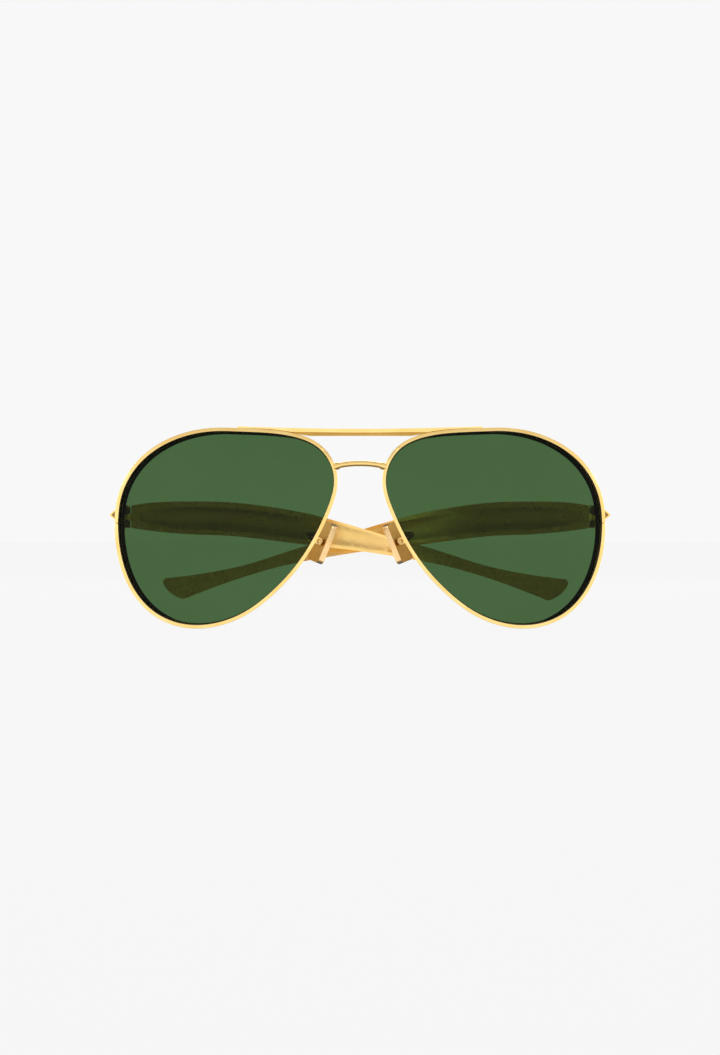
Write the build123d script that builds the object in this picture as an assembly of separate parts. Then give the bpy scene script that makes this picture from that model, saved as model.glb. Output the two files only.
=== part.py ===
from build123d import *
import math
import os

os.makedirs("parts", exist_ok=True)

# Millimetres. X runs along the front, Y towards the wearer, Z up; the origin is the middle of the bridge wire.

# lens and rim
lens_radius = 160.0        # spherical curve of lens and rim
wrap_angle = 10.0          # each lens turned back towards the temple
lens_mid_x = 38.2          # lens centre from the middle of the front
lens_mid_z = -18.4
rim_width = 1.0
rim_depth = 2.8
groove_depth = 0.5
lens_thickness = 1.6
back_lip = 0.25            # rim behind the lens
lens_play = 0.01           # lens edge and faces in the groove
split_gap = 0.15
split_z = -17.0

# brow bar and bridge
bar_half = 35.0
bar_height = 1.1
bar_sag = 0.8
bar_top = 9.9
bar_depth = 2.4
flange_half = 22.0
flange_flat = 14.5         # half length of the flange's straight lower edge
flange_drop = 0.9
wire_radius = 0.8
collar_radius = 1.05
seat_play = 0.01

# rim locks and end pieces
lock_radius = 1.1
lock_height = 2.25
screw_radius = 0.5
screw_play = 0.02
head_radius = 0.85
head_height = 0.6
head_gap = 0.05            # between the screw head and the back of the rim
lock_gap = 0.2             # between the locks and the front leaf
beak_z = -14.6
beak_half = 1.7
beak_reach = 2.2

# hinge
hinge_x = 67.4
hinge_z = -15.3
knuckle_radius = 1.25
knuckle_height = 2.0
knuckle_gap = 0.05
pin_radius = 0.6
pin_play = 0.03
leaf_plate = 0.9
leaf_reach = 3.6           # tongue of the temple leaf along the temple
leaf_gap = 0.1             # between the middle knuckle and the front leaf

# temples
temple_length = 127.0      # hinge axis to tip
drawn_length = 127.0       # length that the outline points below belong to
temple_start = knuckle_radius + 0.2
temple_inner = 0.6         # inner face behind the hinge axis
temple_thickness = 2.1
tail_thickness = 1.5
trough_depth = 0.8
flange_width = 1.4         # beside the hollow, at the broadest place
temple_width = 9.5
tip_bow = 11.0             # the tip curls in by this much
folded_near = 2.5          # folded angle of the temple next to the lenses
folded_far = 15.0          # folded angle of the temple laid over it

# nose pads
pad_length = 12.0
pad_width = 5.6
pad_thickness = 2.0
pad_round = 1.2
pad_tilt = 22.0
pad_flare = 40.0
pad_x = 11.5
pad_y = 7.2
pad_z = -22.2
lug_radius = 0.9
lug_width = 1.4
lug_height = 1.3
cheek = 0.6
pad_gap = 0.3
arm_radius = 0.7
pad_screw_radius = 0.45

# centreline of the rim in front view, from the top round the temple side and back over the nose
rim_knots = [
    (38.0, 9.6), (50.5, 8.0), (60.6, 2.7), (67.3, -5.8), (69.5, -17.0), (68.0, -28.6),
    (63.2, -38.4), (55.3, -44.7), (46.2, -46.4), (34.5, -43.6), (24.3, -36.3), (15.6, -26.2),
    (9.4, -14.4), (6.9, -5.0), (9.1, 2.2), (15.8, 7.0), (25.5, 9.0),
]

# upper and lower edge of the temple against the distance from the hinge axis
temple_top = [
    (temple_start, -11.9), (8.0, -11.0), (18.0, -10.7), (29.0, -10.9), (43.0, -12.5), (55.0, -14.8),
    (67.0, -18.2), (80.0, -22.0), (91.0, -25.2), (102.0, -28.8), (112.0, -31.1), (125.3, -33.0),
]
temple_bottom = [
    (temple_start, -18.4), (8.0, -19.3), (18.0, -20.2), (29.0, -20.6), (43.0, -22.1), (55.0, -23.6),
    (67.0, -25.0), (80.0, -27.0), (91.0, -29.1), (102.0, -32.1), (111.0, -35.2), (120.3, -38.9),
]

wrap = math.radians(wrap_angle)
facing = Vector(math.sin(wrap), -math.cos(wrap), 0)
ball = Vector(lens_mid_x - lens_radius * math.sin(wrap), lens_radius, lens_mid_z)


def on_sphere(x, z):
    drop = lens_radius ** 2 - (x - ball.X) ** 2 - (z - ball.Z) ** 2
    return Vector(x, ball.Y - math.sqrt(drop), z)


def rim_loop(offset):
    """Points of the front view loop at an offset outside the rim centreline."""
    loop = Edge.make_spline([Vector(x, 0, z) for x, z in rim_knots], periodic=True)
    points = []
    for i in range(20):
        at = loop.position_at(i / 20)
        along = loop.tangent_at(i / 20)
        points.append((at.X - along.Z * offset, at.Z + along.X * offset))
    return points


def wedge(offset):
    """Solid with its apex at the sphere centre and walls through the offset loop."""
    loops = []
    for distance in (lens_radius - 16, lens_radius + 8):
        points = []
        for x, z in rim_loop(offset):
            ray = on_sphere(x, z) - ball
            points.append(ball + ray * (distance / ray.dot(facing)))
        loops.append(Wire([Edge.make_spline(points, periodic=True)]))
    return Solid.make_loft(loops, ruled=True)


def shell(inner, outer):
    """Ball shell between two offsets from the lens sphere."""
    return Pos(ball) * (Sphere(lens_radius + outer) - Sphere(lens_radius + inner))


def crossed(front_face, plan_face):
    """Solid whose front view and plan view are the two faces."""
    return extrude(front_face, 200, both=True) & extrude(plan_face, 200, both=True)


def strip(first, second):
    """Face between two rows of points with the same count."""
    edges = [Edge.make_spline([Vector(*p) for p in first])]
    edges.append(Edge.make_line(first[-1], second[-1]))
    edges.append(Edge.make_spline([Vector(*p) for p in second]))
    edges.append(Edge.make_line(second[0], first[0]))
    return make_face(edges)


def post(x, y, radius, low, high):
    return Pos(x, y, (low + high) / 2) * Cylinder(radius, high - low)


def block(x0, x1, y0, y1, z0, z1):
    return Pos((x0 + x1) / 2, (y0 + y1) / 2, (z0 + z1) / 2) * Box(x1 - x0, y1 - y0, z1 - z0)


def save(shape, name):
    solids = shape.solids()
    body = solids[0] if len(solids) == 1 else Compound(children=list(solids))
    export_step(body, f"parts/{name}.step")


def left_of(shape):
    return mirror(shape, about=Plane.YZ)


def save_pair(shape, name):
    save(shape, name + "_right")
    save(left_of(shape), name + "_left")


# rim with a groove all round and a split on the temple side
lens_space = wedge(rim_width / 2) & shell(-rim_depth / 2, rim_depth / 2)
rim = lens_space - wedge(-rim_width / 2)
groove_edge = groove_depth - rim_width / 2
lens_back = -rim_depth / 2 + back_lip
lens_front = lens_back + lens_thickness
groove = wedge(groove_edge) & shell(lens_back - lens_play, lens_front + lens_play)
rim -= groove
rim -= block(hinge_x - 2, hinge_x + 8, 5, 20, split_z - split_gap / 2, split_z + split_gap / 2)
lens = wedge(groove_edge - lens_play) & shell(lens_back, lens_front)
save_pair(rim, "rim")
save_pair(lens, "lens")

# brow bar: a sagging rod on top of the rims with a set-back flange in the middle
bar_x = [-bar_half, -bar_half / 2, 0, bar_half / 2, bar_half]
rise = [bar_sag * (x / bar_half) ** 2 for x in bar_x]
retreat = [-0.7 + 4.0 * (x / bar_half) ** 2 for x in bar_x]
bar_front = strip(
    [(x, 0, bar_top + r) for x, r in zip(bar_x, rise)],
    [(x, 0, bar_top + r - bar_height) for x, r in zip(bar_x, rise)],
)
bar_plan = strip([(x, y, 0) for x, y in zip(bar_x, retreat)], [(x, y + bar_depth, 0) for x, y in zip(bar_x, retreat)])
bar = crossed(bar_front, bar_plan)
flange_base = bar_top - bar_height
flange_front = make_face(Polyline(
    (-flange_half, 0, flange_base + 0.6), (-flange_half, 0, flange_base + 0.25),
    (-flange_flat, 0, flange_base - flange_drop), (flange_flat, 0, flange_base - flange_drop),
    (flange_half, 0, flange_base + 0.25), (flange_half, 0, flange_base + 0.6), close=True,
))
flange_x = [-flange_half, -flange_half / 2, 0, flange_half / 2, flange_half]
flange_plan = strip(
    [(x, 0.5 + 4.0 * (x / bar_half) ** 2, 0) for x in flange_x],
    [(x, 1.6 + 4.0 * (x / bar_half) ** 2, 0) for x in flange_x],
)
bar += crossed(flange_front, flange_plan)
rim_seat = wedge(rim_width / 2 + seat_play)
bar -= rim_seat
bar -= left_of(rim_seat)
save(bar, "brow_bar")

# bridge wire with a collar at each rim
wire_line = Edge.make_spline([
    Vector(-8.2, 0.4, -1.3), Vector(-4.2, 0.15, -0.25), Vector(0, 0, 0), Vector(4.2, 0.15, -0.25), Vector(8.2, 0.4, -1.3),
])
wire = sweep(Plane(origin=wire_line @ 0, z_dir=wire_line % 0) * Circle(wire_radius), path=wire_line)
bridge = wire
for at in (0.095, 0.905):
    bridge += Plane(origin=wire_line @ at, z_dir=wire_line % at) * Cylinder(collar_radius, 1.5)
bridge -= lens_space
bridge -= left_of(lens_space)
bridge = max(bridge.solids(), key=lambda s: s.volume)
save(bridge, "bridge")

# locks behind the split, closed by one screw
mid = on_sphere(hinge_x + 2.05, split_z)
inward = (ball - mid).normalized()
lock_back = rim_depth / 2 + head_radius + head_gap
lock_x = mid.X + inward.X * lock_back
lock_y = mid.Y + inward.Y * lock_back
lock_low = split_z - split_gap / 2 - lock_height
lock_high = split_z + split_gap / 2 + lock_height
bore = post(lock_x, lock_y, screw_radius + screw_play, lock_low - 1, lock_high - 0.4)
lower = post(lock_x, lock_y, lock_radius, lock_low, split_z - split_gap / 2) - bore - lens_space
upper = post(lock_x, lock_y, lock_radius, split_z + split_gap / 2, lock_high) - bore - lens_space
save_pair(lower, "rim_lock_lower")
save_pair(upper, "rim_lock_upper")
rim_screw = post(lock_x, lock_y, screw_radius, lock_low, lock_high - 0.5)
rim_screw += post(lock_x, lock_y, head_radius, lock_low - head_height, lock_low)
rim_screw -= block(lock_x - 1, lock_x + 1, lock_y - 0.12, lock_y + 0.12, lock_low - 1, lock_low - 0.35)
save(rim_screw + left_of(rim_screw), "rim_screws")

# end piece: a beak outside the rim with a block behind it that carries the hinge
leaf_front = lock_y + lock_radius + lock_gap
hinge_y = leaf_front + leaf_plate + leaf_gap + knuckle_radius
rim_out = mid.X + rim_width / 2


def beak_face(inset):
    half = beak_half - inset
    return make_face(Polyline(
        (rim_out - 1.5, 0, beak_z - half), (rim_out + 0.25, 0, beak_z - half),
        (rim_out + beak_reach - 1.4 * inset, 0, beak_z), (rim_out + 0.25, 0, beak_z + half),
        (rim_out - 1.5, 0, beak_z + half), close=True,
    ))


end_plan = make_face(Polyline(
    (rim_out - 0.5, mid.Y + 0.1, 0), (rim_out + beak_reach, mid.Y + 0.6, 0),
    (rim_out + beak_reach, mid.Y + 1.6, 0), (rim_out + 0.3, leaf_front, 0), (rim_out - 1.6, leaf_front, 0),
    (rim_out - 0.7, lock_y - 0.2, 0), close=True,
))
pocket_plan = make_face(Polyline(
    (rim_out - 1.5, mid.Y - 2, 0), (rim_out + beak_reach, mid.Y - 2, 0), (rim_out + beak_reach, mid.Y + 0.95, 0),
    (rim_out - 1.5, mid.Y + 0.45, 0), close=True,
))
end_piece = crossed(beak_face(0), end_plan) - crossed(beak_face(0.45), pocket_plan)
end_piece -= wedge(rim_width / 2)
end_piece -= post(lock_x, lock_y, lock_radius, lock_low, lock_high)
end_piece = max(end_piece.solids(), key=lambda s: s.volume)
save_pair(end_piece, "end_piece")

# front leaf with the two outer knuckles
half_pitch = knuckle_height / 2
knuckle_low = hinge_z - half_pitch - knuckle_height
knuckle_high = hinge_z + half_pitch + knuckle_height
front_leaf = block(hinge_x + 1.0, rim_out + 0.3, leaf_front, leaf_front + leaf_plate, knuckle_low, knuckle_high)
for low, high in ((knuckle_low, hinge_z - half_pitch - knuckle_gap), (hinge_z + half_pitch + knuckle_gap, knuckle_high)):
    front_leaf += post(hinge_x, hinge_y, knuckle_radius, low, high)
    front_leaf += block(hinge_x - knuckle_radius, hinge_x + 1.2, leaf_front, hinge_y, low, high)
front_leaf -= post(hinge_x, hinge_y, pin_radius + pin_play, knuckle_low - 1, knuckle_high + 1)
save_pair(front_leaf, "front_hinge_leaf")

# hinge screw
pin = post(hinge_x, hinge_y, pin_radius, knuckle_low + 0.1, knuckle_high)
pin += post(hinge_x, hinge_y, 1.0, knuckle_high, knuckle_high + 0.5)
pin -= block(hinge_x - 1.2, hinge_x + 1.2, hinge_y - 0.12, hinge_y + 0.12, knuckle_high + 0.25, knuckle_high + 1)
save(pin + left_of(pin), "hinge_screws")


def reach(s):
    """Distance from the hinge axis for one drawn at the drawn length."""
    return temple_start + (s - temple_start) * (temple_length - temple_start) / (drawn_length - temple_start)


def bowed(s):
    """Inward curl of the temple at a distance from the hinge."""
    return tip_bow * (s / temple_length) ** 4


def folded(shape, angle):
    """Turns a temple drawn straight along the front to its folded angle."""
    axis = Axis((hinge_x, hinge_y, 0), (0, 0, 1))
    return shape.rotate(axis, -angle)


# temple: a bowed strip with a hollow inner face and a flat paddle at the end
stations = [reach(s) for s in (temple_start, 20, 40, 60, 75, 90, 102, 112, 120, drawn_length)]
inner_side = [(hinge_x - s, hinge_y + temple_inner - bowed(s), 0) for s in stations]
depths = [temple_thickness + (tail_thickness - temple_thickness) * min(1, s / 90) for s in stations]
outer_side = [(x, y + d, 0) for (x, y, z), d in zip(inner_side, depths)]
temple_plan = strip(inner_side, outer_side)
top_row = [(hinge_x - reach(s), 0, z) for s, z in temple_top]
low_row = [(hinge_x - reach(s), 0, z) for s, z in temple_bottom]
tip_high = top_row[-1]
tip_low = low_row[-1]
tip_curve, nose, toe, heel, heel_curve = [
    (hinge_x - reach(drawn_length - inset), 0, z)
    for inset, z in ((0.45, -33.45), (0.1, -34.5), (1.9, -37.1), (5.0, -39.0), (5.8, -39.2))
]
temple_side = make_face([
    Edge.make_spline([Vector(*p) for p in top_row]),
    Edge.make_three_point_arc(tip_high, tip_curve, nose),
    Edge.make_three_point_arc(nose, toe, heel),
    Edge.make_three_point_arc(heel, heel_curve, tip_low),
    Edge.make_spline([Vector(*p) for p in low_row]),
    Edge.make_line(low_row[0], top_row[0]),
])
temple = crossed(temple_side, temple_plan)
trough_s = [reach(s) for s in (2.6, 5, 8, 12.5, 20, 28, 43, 55, 67, 76, 84)]
trough_mid = [-15.2, -15.2, -15.2, -15.3, -15.5, -15.8, -17.3, -19.2, -21.6, -23.7, -25.6]
trough_share = [0.0, 0.2, 0.44, 0.75, 0.96, 1.0, 0.98, 0.85, 0.55, 0.2, 0.0]
trough_half = temple_width / 2 - flange_width
trough_radius = (trough_half ** 2 + trough_depth ** 2) / (2 * trough_depth)
trough_line = Edge.make_spline([
    Vector(hinge_x - s, hinge_y + temple_inner - bowed(s) + trough_depth * share - trough_radius, mid_z)
    for s, mid_z, share in zip(trough_s, trough_mid, trough_share)
])
temple -= sweep(Plane(origin=trough_line @ 0, z_dir=trough_line % 0) * Circle(trough_radius), path=trough_line)
save(folded(temple, folded_far), "temple_right")
save(left_of(folded(temple, folded_near)), "temple_left")

# temple leaf with the middle knuckle
mid_low = hinge_z - half_pitch
mid_high = hinge_z + half_pitch
leaf_inner = hinge_y + temple_inner - leaf_plate
temple_leaf = post(hinge_x, hinge_y, knuckle_radius, mid_low, mid_high)
temple_leaf += block(hinge_x - leaf_reach, hinge_x, leaf_inner, hinge_y + temple_inner, mid_low, mid_high)
temple_leaf -= post(hinge_x, hinge_y, pin_radius + pin_play, mid_low - 1, mid_high + 1)
temple_leaf -= temple
save(folded(temple_leaf, folded_far), "temple_hinge_leaf_right")
save(left_of(folded(temple_leaf, folded_near)), "temple_hinge_leaf_left")

# nose pad: a thin plate rocking on a lug between two cheeks
tilt = math.radians(pad_tilt)
flare = math.radians(pad_flare)
down = Vector(math.sin(tilt), 0, -math.cos(tilt))
back = Vector(math.sin(flare), math.cos(flare), 0)
back = (back - down * back.dot(down)).normalized()
away = down.cross(back)
pad_plane = Plane(origin=(pad_x, pad_y, pad_z), x_dir=back, z_dir=away)
plate = extrude(RectangleRounded(pad_width, pad_length, pad_round), pad_thickness)
lug = Pos(0, 0, lug_height) * Rot(0, 90, 0) * Cylinder(lug_radius, lug_width)
lug += block(-lug_width / 2, lug_width / 2, -lug_radius, lug_radius, 0, lug_height)
lug -= Pos(0, 0, lug_height) * Rot(0, 90, 0) * Cylinder(pad_screw_radius + pin_play, lug_width + 2)
pad = Pos(0, 0, -pad_thickness) * plate + lug
box_half = lug_width / 2 + pad_gap + cheek
box_top = lug_height + lug_radius + pad_gap
box = block(-box_half, box_half, -1.0, 1.0, pad_gap + 0.15, box_top + cheek)
box -= block(-box_half + cheek, box_half - cheek, -2, 2, 0, box_top)
box -= Pos(0, 0, lug_height) * Rot(0, 90, 0) * Cylinder(pad_screw_radius + screw_play, 10)
pad_screw = Pos(0, 0, lug_height) * Rot(0, 90, 0) * Cylinder(pad_screw_radius, 2 * box_half)
pad_screw += Pos(-box_half - 0.2, 0, lug_height) * Rot(0, 90, 0) * Cylinder(0.75, 0.4)
save_pair(pad_plane * pad, "nose_pad")
save_pair(pad_plane * box, "pad_box")
pad_screw = pad_plane * pad_screw
save(pad_screw + left_of(pad_screw), "pad_screws")

# pad arm: a wire looping from the box to the back of the rim
arm_start = pad_plane.from_local_coords((0, 0, box_top + cheek))
arm_line = Edge.make_spline([
    arm_start, Vector(14.7, 4.6, -20.6), Vector(14.8, 3.4, -20.2), Vector(13.2, 2.3, -20.0), Vector(12.1, 0.4, -19.9),
])
arm = sweep(Plane(origin=arm_line @ 0, z_dir=arm_line % 0) * Circle(arm_radius), path=arm_line)
arm -= lens_space
arm -= pad_plane * block(-2, 2, -2, 2, 0, box_top + cheek)
arm = max(arm.solids(), key=lambda s: s.volume)
save_pair(arm, "pad_arm")
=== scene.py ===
import bpy
import math
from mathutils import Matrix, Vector


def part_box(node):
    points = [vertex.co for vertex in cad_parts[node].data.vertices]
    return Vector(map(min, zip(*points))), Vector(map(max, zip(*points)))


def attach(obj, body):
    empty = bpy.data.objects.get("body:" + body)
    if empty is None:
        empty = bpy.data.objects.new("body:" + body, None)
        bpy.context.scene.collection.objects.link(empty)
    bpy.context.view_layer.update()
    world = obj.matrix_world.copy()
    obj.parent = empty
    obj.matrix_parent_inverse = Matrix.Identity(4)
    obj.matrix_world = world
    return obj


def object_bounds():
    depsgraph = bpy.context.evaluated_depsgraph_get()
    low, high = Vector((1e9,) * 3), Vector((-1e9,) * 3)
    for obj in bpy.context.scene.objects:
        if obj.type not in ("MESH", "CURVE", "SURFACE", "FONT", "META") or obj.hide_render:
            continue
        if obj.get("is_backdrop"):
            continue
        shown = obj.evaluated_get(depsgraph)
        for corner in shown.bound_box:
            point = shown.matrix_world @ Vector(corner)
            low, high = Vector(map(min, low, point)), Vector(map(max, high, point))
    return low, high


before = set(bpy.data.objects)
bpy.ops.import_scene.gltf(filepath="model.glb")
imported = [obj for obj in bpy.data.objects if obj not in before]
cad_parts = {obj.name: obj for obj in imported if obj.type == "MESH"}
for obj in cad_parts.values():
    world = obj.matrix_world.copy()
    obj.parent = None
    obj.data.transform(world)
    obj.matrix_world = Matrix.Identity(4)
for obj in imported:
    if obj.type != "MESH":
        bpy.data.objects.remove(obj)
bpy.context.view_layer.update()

print("stage: frame loaded,", len(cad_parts), "parts")


def newMaterial(name):
    made = bpy.data.materials.new(name)
    made.use_nodes = True
    shader = made.node_tree.nodes["Principled BSDF"]
    return made, made.node_tree, shader


def addNode(tree, kind, **sockets):
    made = tree.nodes.new(kind)
    for key, value in sockets.items():
        made.inputs[key].default_value = value
    return made


def mathNode(tree, operation, first, second):
    made = tree.nodes.new("ShaderNodeMath")
    made.operation = operation
    tree.links.new(first, made.inputs[0])
    tree.links.new(second, made.inputs[1])
    return made


def mixShaders(tree, share, first, second):
    mix = tree.nodes.new("ShaderNodeMixShader")
    tree.links.new(share, mix.inputs["Fac"])
    tree.links.new(first, mix.inputs[1])
    tree.links.new(second, mix.inputs[2])
    return mix.outputs["Shader"]


def noiseOf(tree, scale, detail):  # noise in object space
    place = tree.nodes.new("ShaderNodeTexCoord")
    noise = addNode(tree, "ShaderNodeTexNoise", Scale=scale, Detail=detail)
    tree.links.new(place.outputs["Object"], noise.inputs["Vector"])
    return noise


def rampOf(tree, noise, low, high, spread=(0.35, 0.65)):  # two tones or two greys across a noise
    ramp = tree.nodes.new("ShaderNodeValToRGB")
    ramp.color_ramp.elements[0].position = spread[0]
    ramp.color_ramp.elements[1].position = spread[1]
    ramp.color_ramp.elements[0].color = low
    ramp.color_ramp.elements[1].color = high
    tree.links.new(noise.outputs["Fac"], ramp.inputs["Fac"])
    return ramp


def grey(value):
    return (value, value, value, 1)


metalGrain = {
    "toneDetail": 4.0, "smearDetail": 6.0, "smearSpread": (0.3, 0.7), "grainDetail": 3.0, "depth": 0.00002,
}


def metalFinish(look):
    made, tree, shader = newMaterial(look["name"])
    shader.inputs["Metallic"].default_value = look.get("metallic", 1.0)
    tone = noiseOf(tree, look["toneScale"], metalGrain["toneDetail"])
    tint = rampOf(tree, tone, look["deep"], look["light"])
    tree.links.new(tint.outputs["Color"], shader.inputs["Base Color"])
    smooth, worn = look["roughness"]
    smear = noiseOf(tree, look["smearScale"], metalGrain["smearDetail"])
    rough = rampOf(tree, smear, grey(smooth), grey(worn), metalGrain["smearSpread"])
    tree.links.new(rough.outputs["Color"], shader.inputs["Roughness"])
    fine = noiseOf(tree, look["grainScale"], metalGrain["grainDetail"])
    bump = addNode(tree, "ShaderNodeBump", Strength=look["bump"], Distance=metalGrain["depth"])
    tree.links.new(fine.outputs["Fac"], bump.inputs["Height"])
    tree.links.new(bump.outputs["Normal"], shader.inputs["Normal"])
    return made


polishedGold = metalFinish({
    "name": "polishedGold", "deep": (0.90, 0.60, 0.20, 1), "light": (0.96, 0.69, 0.27, 1), "toneScale": 120,
    "smearScale": 260, "roughness": (0.14, 0.24), "grainScale": 2600, "bump": 0.03,
})
satinGold = metalFinish({
    "name": "satinGold", "deep": (0.86, 0.57, 0.19, 1), "light": (0.93, 0.64, 0.24, 1), "toneScale": 60,
    "smearScale": 180, "roughness": (0.22, 0.32), "grainScale": 3200, "bump": 0.03,
})
padGold = metalFinish({
    "name": "padGold", "deep": (0.92, 0.60, 0.27, 1), "light": (0.97, 0.70, 0.36, 1), "toneScale": 300,
    "smearScale": 500, "roughness": (0.20, 0.32), "grainScale": 3000, "bump": 0.04,
})
# painted shade: a darker gold standing in for the shade on the brow bar's recessed flange and on the backs of
# the pads
paintedShadeGold = metalFinish({  # the brow bar's flange and the backs of the pads
    "name": "paintedShadeGold", "deep": (0.50, 0.28, 0.055, 1), "light": (0.62, 0.38, 0.10, 1), "toneScale": 90,
    "smearScale": 200, "roughness": (0.28, 0.40), "grainScale": 3200, "bump": 0.03,
})
# painted shade: a dark brown standing in for the shade on the front hinge leaves, the pad arms, the beaks'
# pockets and the pads' rounded edges
paintedShadeBrown = metalFinish({  # front hinge leaves, pad arms, the beaks' pockets, the pads' rounded edges
    "name": "paintedShadeBrown", "deep": (0.26, 0.155, 0.048, 1), "light": (0.36, 0.23, 0.080, 1), "toneScale": 260,
    "smearScale": 500, "roughness": (0.34, 0.48), "grainScale": 3600, "bump": 0.05,
})
# painted shade: a darker gold standing in for the shade inside the temples' hollow
paintedShadeHollowGold = metalFinish({  # inside of the temples' hollow
    "name": "paintedShadeHollowGold", "deep": (0.74, 0.48, 0.155, 1), "light": (0.81, 0.545, 0.20, 1), "toneScale": 50,
    "smearScale": 160, "roughness": (0.24, 0.34), "grainScale": 3200, "bump": 0.03,
})
screwMetal = metalFinish({
    "name": "screwMetal", "deep": (0.60, 0.38, 0.13, 1), "light": (0.76, 0.53, 0.22, 1), "toneScale": 700,
    "smearScale": 1400, "roughness": (0.26, 0.42), "grainScale": 5000, "bump": 0.08,
})
paintedShadeBlack = metalFinish({  # painted shade: black standing in for the shade and dark reflections on the lens edges, the rims' inner walls, the dark rings behind the lenses and the ends of the pads
    "name": "paintedShadeBlack", "deep": (0.004, 0.004, 0.003, 1), "light": (0.012, 0.010, 0.006, 1),
    "toneScale": 300, "smearScale": 900, "roughness": (0.5, 0.7), "grainScale": 3000, "bump": 0.1,
    "metallic": 0.0,
})

lensLook = {
    "deep": (0.061, 0.131, 0.047, 1), "light": (0.065, 0.138, 0.051, 1), "toneScale": 22, "toneDetail": 2.0,
    "wipeScale": 90, "wipeDetail": 5.0, "wipeSpread": (0.55, 0.8), "roughness": (0.0, 0.012),
    "ior": 1.15, "specular": 0.3, "through": (0.66, 0.60, 0.56, 1),
}


def greenGlass(look):
    made, tree, shader = newMaterial("greenGlass")
    shader.inputs["Transmission Weight"].default_value = 1.0
    shader.inputs["IOR"].default_value = look["ior"]
    shader.inputs["Specular IOR Level"].default_value = look["specular"]
    tone = noiseOf(tree, look["toneScale"], look["toneDetail"])
    tint = rampOf(tree, tone, look["deep"], look["light"])
    tree.links.new(tint.outputs["Color"], shader.inputs["Base Color"])
    clean, wiped = look["roughness"]
    wipe = noiseOf(tree, look["wipeScale"], look["wipeDetail"])
    rough = rampOf(tree, wipe, grey(clean), grey(wiped), look["wipeSpread"])
    tree.links.new(rough.outputs["Color"], shader.inputs["Roughness"])
    rays = tree.nodes.new("ShaderNodeLightPath").outputs  # lamps and bounced light reach the temples behind
    bounced = mathNode(tree, "MAXIMUM", rays["Is Shadow Ray"], rays["Is Glossy Ray"])
    soft = mathNode(tree, "MAXIMUM", bounced.outputs["Value"], rays["Is Diffuse Ray"])
    outside = mathNode(tree, "SUBTRACT", soft.outputs["Value"], rays["Is Transmission Ray"])
    outside.use_clamp = True
    through = addNode(tree, "ShaderNodeBsdfTransparent", Color=look["through"])
    mixed = mixShaders(tree, outside.outputs["Value"], shader.outputs["BSDF"], through.outputs["BSDF"])
    tree.links.new(mixed, tree.nodes["Material Output"].inputs["Surface"])
    return made


lensGlass = greenGlass(lensLook)

edges = {  # rounded edge width in metres and the finish, by how a node's name starts; the first match counts
    "rim_lock": (0.00012, satinGold), "rim_screws": (0.00006, screwMetal), "rim": (0.00028, polishedGold),
    "lens": (0.0, lensGlass), "brow_bar": (0.00022, polishedGold), "bridge": (0.0, polishedGold),
    # the front hinge leaves here and the pad arms below take the painted shade
    "end_piece": (0.00016, polishedGold), "front_hinge_leaf": (0.00014, paintedShadeBrown),
    "temple_hinge_leaf": (0.00014, satinGold), "hinge_screws": (0.00006, screwMetal),
    "temple": (0.00030, satinGold), "pad_box": (0.00010, satinGold), "pad_screws": (0.00006, screwMetal),
    "nose_pad": (0.00012, padGold), "pad_arm": (0.0, paintedShadeBrown),
}
edgeLook = {"weldGap": 0.000002, "segments": 3, "sharpest": 38, "smallestShaded": 0.0001}


def dress(node, width, finish):
    node.data.materials.clear()
    node.data.materials.append(finish)
    if width > 0:
        weld = node.modifiers.new("weld", "WELD")
        weld.merge_threshold = edgeLook["weldGap"]
        soft = node.modifiers.new("edge", "BEVEL")
        soft.width = width
        soft.segments = edgeLook["segments"]
        soft.limit_method = "ANGLE"
        soft.angle_limit = math.radians(edgeLook["sharpest"])
    if width > edgeLook["smallestShaded"]:
        shade = node.modifiers.new("shade", "WEIGHTED_NORMAL")  # keeps slivers beside the rounded edges flat
        shade.keep_sharp = False


def repaint(node, finish, test):  # the faces that pass the test get a further finish
    node.data.materials.append(finish)
    for face in node.data.polygons:
        if test(face):
            face.material_index = len(node.data.materials) - 1


signOf = {"left": -1, "right": 1}
wallLook = {"facing": 0.55, "edgeTurn": 0.6}
barLook = {"flangeTop": 0.0089, "flangeHalf": 0.0222}
beakLook = {"pocketStart": 0.00053, "slope": 0.16, "facing": -0.5}
padLook = {"down": (0.3746, 0.0, -0.9272), "away": (0.7318, -0.6140, 0.2957), "end": 0.8, "back": 0.7}
templeLook = {
    "hinge": (0.0674, 0.01698), "inner": 0.0006, "bow": 0.011, "bowPower": 4, "length": 0.127,
    "folded": {"left": 2.5, "right": 15.0}, "depth": 0.00004, "facing": 0.5,
}


def towardsLens(centre):  # the wall of the rim that faces the lens
    def test(face):
        inward = (centre - face.center).normalized()
        return face.normal.dot(inward) > wallLook["facing"]
    return test


def onLensEdge(centre):  # the ground edge that sits in the rim
    def test(face):
        outward = (face.center - centre).normalized()
        return face.normal.dot(outward) > wallLook["facing"] and abs(face.normal.y) < wallLook["edgeTurn"]
    return test


def onFlange(face):
    return face.center.z < barLook["flangeTop"] and abs(face.center.x) < barLook["flangeHalf"]


def inPocket(face):
    behind = face.center.y - beakLook["slope"] * abs(face.center.x)
    return face.normal.y < beakLook["facing"] and behind > beakLook["pocketStart"]


def padEnd(face):
    side = 1 if face.center.x > 0 else -1
    down = padLook["down"]
    return abs(face.normal.x * down[0] * side + face.normal.z * down[2]) > padLook["end"]


def padBack(face):
    side = 1 if face.center.x > 0 else -1
    away = padLook["away"]
    turned = face.normal.x * away[0] * side + face.normal.y * away[1] + face.normal.z * away[2]
    return turned > padLook["back"]


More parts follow.
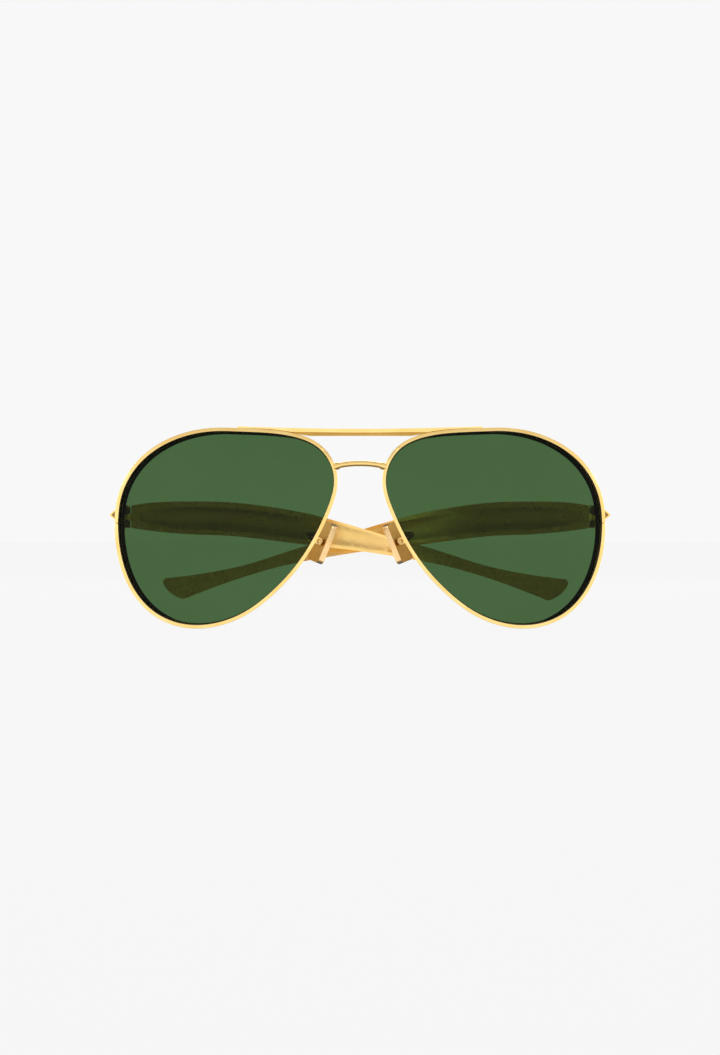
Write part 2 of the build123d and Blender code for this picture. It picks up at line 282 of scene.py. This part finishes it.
def inHollow(node, side):
    look = templeLook
    sign = signOf[side]
    turn = math.radians(look["folded"][side])
    out = Vector((math.sin(turn), math.cos(turn)))
    along = Vector((-math.cos(turn), math.sin(turn)))

    def test(face):
        deepest = 0.0
        for i in face.vertices:
            co = node.data.vertices[i].co
            spot = Vector((co.x * sign - look["hinge"][0], co.y - look["hinge"][1]))
            bow = look["bow"] * (max(0.0, spot.dot(along)) / look["length"]) ** look["bowPower"]
            deepest = max(deepest, spot.dot(out) - look["inner"] + bow)
        facing = -(face.normal.x * sign * out.x + face.normal.y * out.y)
        return facing > look["facing"] and deepest > look["depth"]
    return test


for name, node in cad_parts.items():
    key = next(k for k in edges if name.startswith(k))
    dress(node, *edges[key])
# painted shade on the brow bar's flange
repaint(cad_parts["brow_bar"], paintedShadeGold, onFlange)
for side in ("left", "right"):
    # painted shade in the beaks' pockets
    repaint(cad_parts["end_piece_" + side], paintedShadeBrown, inPocket)
    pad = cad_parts["nose_pad_" + side]
    pad.data.materials.append(paintedShadeBrown)  # painted shade, only for the rounded edges
    pad.modifiers["edge"].material = 1
    # painted shade on the backs of the pads
    repaint(pad, paintedShadeGold, padBack)
    # painted shade on the ends of the pads
    repaint(pad, paintedShadeBlack, padEnd)
    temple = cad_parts["temple_" + side]
    # painted shade inside the temple's hollow
    repaint(temple, paintedShadeHollowGold, inHollow(temple, side))
    lensLow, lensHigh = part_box("lens_" + side)
    lensMiddle = (lensLow + lensHigh) / 2
    # painted shade on the rims' inner walls and on the lens edges
    repaint(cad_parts["rim_" + side], paintedShadeBlack, towardsLens(lensMiddle))
    repaint(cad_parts["lens_" + side], paintedShadeBlack, onLensEdge(lensMiddle))
print("stage: finishes and edges")

ringLook = {  # painted shade and dark reflection: a dark ring just behind each lens's back edge, where the lens edge is seen dark through the glass, broadest on the temple side
    "ball": (0.0104164, 0.160, -0.0184), "backRadius": 0.15885, "near": 0.00003, "digits": 6,
    "under": 0.00052, "behind": 0.00004, "thickness": 0.00012, "widest": 0.00098, "narrow": 0.00005,
    "power": 0.6, "peak": (0.966, 0.259),
}


def backOutline(lens, ball, look):  # the points round the back face of a lens, and their middle
    spots = [lens.matrix_world @ v.co for v in lens.data.vertices]
    onBack = [abs((p - ball).length - look["backRadius"]) < look["near"] for p in spots]
    uses = {}
    for face in lens.data.polygons:
        if all(onBack[i] for i in face.vertices):
            corners = [tuple(round(c, look["digits"]) for c in spots[i]) for i in face.vertices]
            for a, b in zip(corners, corners[1:] + corners[:1]):
                edge = (min(a, b), max(a, b))
                uses[edge] = uses.get(edge, 0) + 1
    border = {p for edge, count in uses.items() if count == 1 for p in edge}
    centre = sum((Vector(p) for p in border), Vector()) / len(border)
    inTurn = sorted(border, key=lambda p: math.atan2(p[2] - centre.z, p[0] - centre.x))
    return [Vector(p) for p in inTurn], centre


def lensRing(side, look):
    sign = signOf[side]
    ball = Vector((look["ball"][0] * sign, look["ball"][1], look["ball"][2]))
    outline, centre = backOutline(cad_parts["lens_" + side], ball, look)
    count = len(outline)
    points = []
    for i, p in enumerate(outline):
        along = (outline[(i + 1) % count] - outline[i - 1]).normalized()
        out = (p - ball).normalized()
        inward = out.cross(along).normalized()
        if inward.dot(centre - p) < 0:
            inward.negate()
        turn = max(0.0, -inward.x * sign * look["peak"][0] - inward.z * look["peak"][1])
        width = look["narrow"] + look["widest"] * turn ** look["power"]
        base = p - out * look["behind"]
        for reach in (look["under"], look["under"] + width):
            points.append(base + inward * reach)
        for reach in (look["under"] + width, look["under"]):
            points.append(base + inward * reach - out * look["thickness"])
    faces = []
    for i in range(count):
        here, there = 4 * i, 4 * ((i + 1) % count)
        for k in range(4):
            faces.append((here + k, here + (k + 1) % 4, there + (k + 1) % 4, there + k))
    mesh = bpy.data.meshes.new("lensShadeRing_" + side)
    mesh.from_pydata([tuple(p) for p in points], [], faces)
    mesh.materials.append(paintedShadeBlack)
    ring = bpy.data.objects.new("lensShadeRing_" + side, mesh)
    bpy.context.scene.collection.objects.link(ring)
    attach(ring, "front")


# painted shade: a dark ring behind each lens
for side in ("left", "right"):
    lensRing(side, ringLook)
print("stage: lens bevels")

low, high = (Vector(corner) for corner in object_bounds())
middle = (low + high) / 2

floorLook = {"size": 16.0, "below": 0.0001, "tone": 0.03, "roughness": 0.9, "glow": 0.905}


def paleFloor(look):
    half = look["size"] / 2
    mesh = bpy.data.meshes.new("paleFloor")
    corners = [(-half, -half, 0), (half, -half, 0), (half, half, 0), (-half, half, 0)]
    mesh.from_pydata(corners, [], [(0, 1, 2, 3)])
    floor = bpy.data.objects.new("paleFloor", mesh)
    bpy.context.scene.collection.objects.link(floor)
    floor.location.z = low.z - look["below"]
    floor.visible_glossy = False
    made, tree, shader = newMaterial("paleFloorPaint")
    shader.inputs["Roughness"].default_value = look["roughness"]
    shader.inputs["Specular IOR Level"].default_value = 0.0
    shader.inputs["Base Color"].default_value = grey(look["tone"])
    shader.inputs["Emission Color"].default_value = grey(1.0)
    shader.inputs["Emission Strength"].default_value = look["glow"]
    mesh.materials.append(made)
    floor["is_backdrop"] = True


studioLook = {  # bands run from straight below to straight above
    "backdrop": 0.94, "surround": 1.0,
    "bands": (
        (0.001, 0.2), (0.12, 0.3), (0.23, 0.95), (0.33, 1.25),
        (0.60, 1.25), (0.71, 0.7), (0.83, 0.28), (0.999, 0.2),
    ),
}


def studioWorld(look):
    world = bpy.data.worlds.new("studio")
    world.use_nodes = True
    tree = world.node_tree
    tree.nodes.clear()
    seen = addNode(tree, "ShaderNodeBackground", Color=grey(look["backdrop"]), Strength=1.0)
    around = addNode(tree, "ShaderNodeBackground", Strength=look["surround"])
    place = tree.nodes.new("ShaderNodeTexCoord")
    parts = tree.nodes.new("ShaderNodeSeparateXYZ")
    height = addNode(tree, "ShaderNodeMapRange")
    height.inputs["From Min"].default_value = -1.0
    bands = tree.nodes.new("ShaderNodeValToRGB")
    for at, value in look["bands"]:
        stop = bands.color_ramp.elements.new(at)
        stop.color = grey(value)
    for end in (0, -1):  # the ramp's own two stops
        bands.color_ramp.elements.remove(bands.color_ramp.elements[end])
    tree.links.new(place.outputs["Generated"], parts.inputs["Vector"])
    tree.links.new(parts.outputs["Z"], height.inputs["Value"])
    tree.links.new(height.outputs["Result"], bands.inputs["Fac"])
    tree.links.new(bands.outputs["Color"], around.inputs["Color"])
    rays = tree.nodes.new("ShaderNodeLightPath").outputs
    clear = mathNode(tree, "MAXIMUM", rays["Is Camera Ray"], rays["Is Transmission Ray"])
    mixed = mixShaders(tree, clear.outputs["Value"], around.outputs["Background"], seen.outputs["Background"])
    tree.links.new(mixed, tree.nodes.new("ShaderNodeOutputWorld").inputs["Surface"])
    bpy.context.scene.world = world


softboxes = {  # place round the middle of the object, size and watts
    "overhead": ((0.0, -0.45, 1.0), 1.2, 3.0),
    "leftSide": ((-1.3, -0.45, 0.35), 0.7, 4.0),
    "rightSide": ((1.3, -0.4, 0.30), 0.7, 4.0),
    "behind": ((0.1, 1.0, 0.8), 0.8, 5.0),
}


def softbox(name, place, size, watts):
    data = bpy.data.lights.new(name, "AREA")
    data.shape = "SQUARE"
    data.size = size
    data.energy = watts
    lamp = bpy.data.objects.new(name, data)
    bpy.context.scene.collection.objects.link(lamp)
    lamp.location = middle + Vector(place)
    lamp.rotation_euler = (middle - lamp.location).to_track_quat("-Z", "Y").to_euler()
    lamp.visible_camera = False
    lamp.visible_transmission = False


paleFloor(floorLook)
studioWorld(studioLook)
for name, (place, size, watts) in softboxes.items():
    softbox(name, place, size, watts)
bpy.context.scene.view_settings.view_transform = "Standard"
print("stage: floor and lights")

cameraLook = {
    "distance": 1.3, "frameHeight": 0.3014, "aimDepth": 0.003, "azimuth": 0.0, "elevation": 0.0,
    "sensor": 36.0, "farthest": 20.0,
}


def standCamera(look):
    data = bpy.data.cameras.new("camera")
    data.sensor_fit = "VERTICAL"
    data.sensor_height = look["sensor"]
    data.lens = look["sensor"] * look["distance"] / look["frameHeight"]
    data.clip_end = look["farthest"]
    camera = bpy.data.objects.new("camera", data)
    bpy.context.scene.collection.objects.link(camera)
    turn, rise = math.radians(look["azimuth"]), math.radians(look["elevation"])
    away = Vector((math.sin(turn) * math.cos(rise), -math.cos(turn) * math.cos(rise), math.sin(rise)))
    aim = Vector((middle.x, look["aimDepth"], middle.z))
    camera.location = aim + away * look["distance"]
    camera.rotation_euler = (-away).to_track_quat("-Z", "Y").to_euler()
    bpy.context.scene.camera = camera


standCamera(cameraLook)
print("stage: camera")
